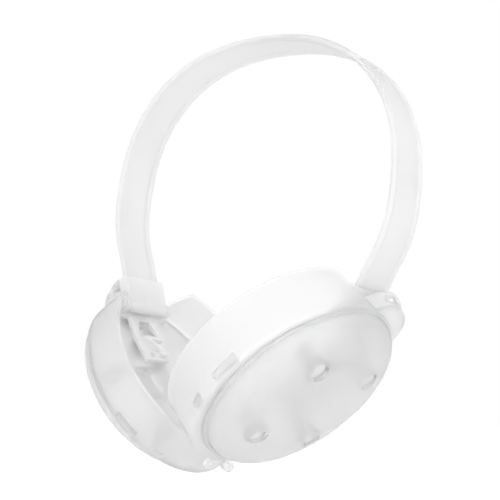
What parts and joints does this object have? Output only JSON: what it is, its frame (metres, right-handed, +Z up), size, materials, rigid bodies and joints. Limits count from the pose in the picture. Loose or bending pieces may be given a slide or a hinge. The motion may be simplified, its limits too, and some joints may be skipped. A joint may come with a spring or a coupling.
{
  "type": "ear guard",
  "caption": "Translucent ear guard for hair colouring: domed ear cups that tilt and swivel at the ends of a sprung plastic headband.",
  "frame": {"origin": "middle of the band's inner face at the crown", "axes": "+Z up through the crown, +X towards the cup on the right as seen from the front, -Y towards the front"},
  "size_m": [0.1593, 0.1144, 0.1993],
  "materials": {
    "band_plastic": "frosted translucent polypropylene",
    "shoe_plastic": "frosted translucent polypropylene, thicker",
    "cup_plastic": "frosted translucent polypropylene, thin wall",
    "cover_plastic": "milky translucent polypropylene, satin gloss",
    "frame_plastic": "frosted translucent polypropylene",
    "pin_plastic": "clear grey plastic, satin"
  },
  "bodies": {
    "headband": {"headband": "band_plastic", "left_shoe": "shoe_plastic", "right_shoe": "shoe_plastic"},
    "left_yoke": {"left_tilt_pin": "pin_plastic", "left_carrier": "shoe_plastic", "left_catch": "pin_plastic", "left_retainer": "pin_plastic"},
    "left_cup": {"left_skirt": "cup_plastic", "left_floor": "cup_plastic", "left_post_frame": "frame_plastic", "left_cover": "cover_plastic", "left_cover_pins": "pin_plastic"},
    "right_yoke": {"right_tilt_pin": "pin_plastic", "right_carrier": "shoe_plastic", "right_catch": "pin_plastic", "right_retainer": "pin_plastic"},
    "right_cup": {"right_skirt": "cup_plastic", "right_floor": "cup_plastic", "right_post_frame": "frame_plastic", "right_cover": "cover_plastic", "right_cover_pins": "pin_plastic"}
  },
  "joints": [
    {"name": "left_tilt", "type": "hinge", "parent": "headband", "child": "left_yoke", "pos_m": [-0.0602, 0, -0.124], "axis": [0, 1, 0], "range_deg": [0, 8]},
    {"name": "left_swivel", "type": "hinge", "parent": "left_yoke", "child": "left_cup", "pos_m": [-0.0602, 0, -0.124], "axis": [-0.809, 0, -0.5878], "range_deg": [-27, 41]},
    {"name": "right_tilt", "type": "hinge", "parent": "headband", "child": "right_yoke", "pos_m": [0.0602, 0, -0.124], "axis": [0, -1, 0], "range_deg": [0, 15.5]},
    {"name": "right_swivel", "type": "hinge", "parent": "right_yoke", "child": "right_cup", "pos_m": [0.0602, 0, -0.124], "axis": [-0.7254, 0, 0.6884], "range_deg": [-64, 4]}
  ]
}
